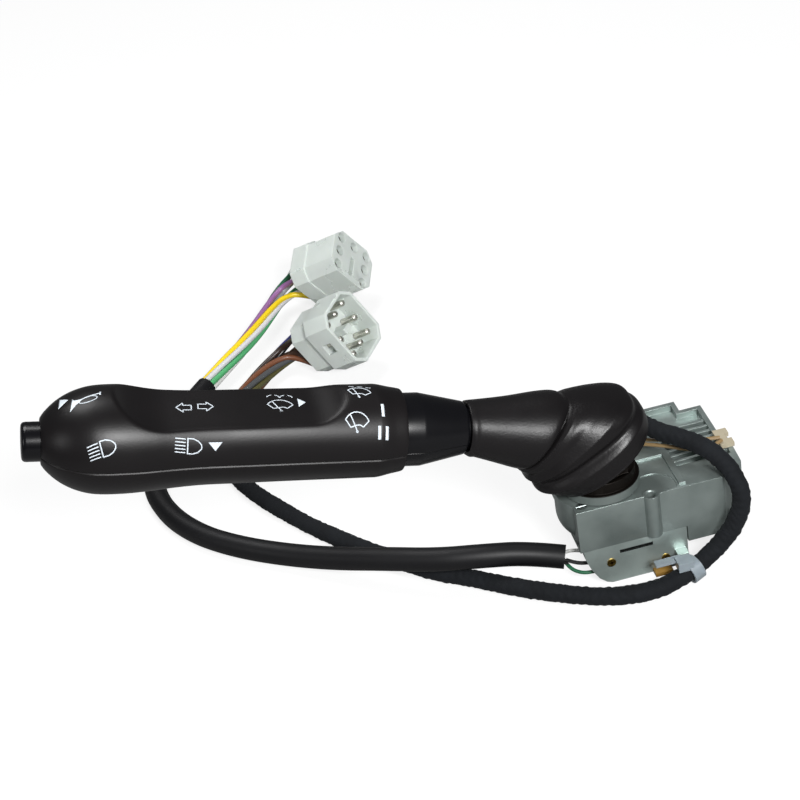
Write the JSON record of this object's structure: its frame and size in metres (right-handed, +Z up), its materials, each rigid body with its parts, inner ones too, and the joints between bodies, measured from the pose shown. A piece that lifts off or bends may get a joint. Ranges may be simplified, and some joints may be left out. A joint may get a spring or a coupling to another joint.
{
  "type": "combination stalk switch",
  "caption": "Steering-column stalk switch: black lever grip with end button, rubber boot and die-cast switch base with two wiring harnesses ending in nylon connectors.",
  "frame": {"origin": "under the switch housing, on the plane that its contact plate stands on; x = 0 is 16 mm right of the left front corner and y = 0 is 24 mm behind the front face", "axes": "+Z up, square to the housing roof; +X to the right along the front face; the lever leaves the turret toward -X and rises 14.5 degrees; +Y to the rear"},
  "size_m": [0.2353, 0.2612, 0.1183],
  "materials": {
    "zinc_casting": "as-cast zinc alloy, satin grey, machined bright on the top front edge",
    "brown_laminate": "brown paper laminate",
    "brass": "plain",
    "zinc_plated_steel": "zinc plated",
    "spring_steel": "plain drawn wire",
    "cream_plastic": "moulded, matt",
    "dark_casting": "as-cast",
    "black_plastic": "moulded, satin to gloss",
    "grip_plastic": "moulded black with a fine grain, white printed symbols",
    "black_rubber": "moulded rubber with a fine grain",
    "natural_nylon": "translucent, undyed",
    "tinned_contacts": "tin plated",
    "black_sleeving": "smooth black sleeving, satin",
    "black_tape": "wound cloth tape, matt",
    "wire_insulation": "single wires in several colours"
  },
  "bodies": {
    "base": {"switch_housing": "zinc_casting", "contact_block": "zinc_casting", "contact_plate": "brown_laminate", "brass_rivets": "brass", "housing_screws": "zinc_plated_steel", "terminal_strip": "cream_plastic", "detent_bridge": "black_plastic", "socket_housing": "natural_nylon", "socket_contacts": "tinned_contacts", "plug_housing": "natural_nylon", "plug_pins": "tinned_contacts", "sheath": "black_sleeving", "harness": "black_tape", "wires_upper": "wire_insulation", "wires_lower": "wire_insulation", "side_wires": "wire_insulation", "top_wires": "wire_insulation", "cable_tie": "natural_nylon"},
    "turret_body": {"turret": "dark_casting", "tilt_pin": "zinc_plated_steel", "detent_plunger": "zinc_plated_steel", "boot": "black_rubber"},
    "lever": {"lever_tube": "zinc_plated_steel", "collar_upper": "black_plastic", "collar_lower": "black_plastic", "tube_stop": "spring_steel"},
    "wiper": {"wiper_drum": "cream_plastic"},
    "grip": {"grip_upper": "grip_plastic", "grip_lower": "grip_plastic", "grip_screws": "zinc_plated_steel", "horn_carrier": "cream_plastic", "horn_contacts": "brass", "washer_spring": "spring_steel"},
    "button": {"horn_button": "black_plastic", "horn_spring": "spring_steel"}
  },
  "joints": [
    {"name": "indicator_swing", "type": "hinge", "parent": "base", "child": "turret_body", "pos_m": [-0.003, -0.01, 0.034], "axis": [0, 0, 1], "range_deg": [-14, 14]},
    {"name": "beam_tilt", "type": "hinge", "parent": "turret_body", "child": "lever", "pos_m": [-0.003, -0.01, 0.0592], "axis": [0, 1, 0], "range_deg": [-6, 6], "deforming": ["boot"]},
    {"name": "wiper_turn", "type": "hinge", "parent": "lever", "child": "wiper", "pos_m": [-0.09497, -0.01, 0.08299], "axis": [-0.9681, 0, 0.2504], "range_deg": [0, 60]},
    {"name": "washer_push", "type": "slide", "parent": "wiper", "child": "grip", "axis": [0.9681, 0, -0.2504], "range_m": [0, 0.0035], "stiffness_N_per_m": 900, "springref_m": -0.003, "deforming": ["washer_spring"]},
    {"name": "horn_push", "type": "slide", "parent": "grip", "child": "button", "axis": [0.9681, 0, -0.2504], "range_m": [0, 0.0026], "stiffness_N_per_m": 700, "springref_m": -0.003, "deforming": ["horn_spring"]}
  ]
}
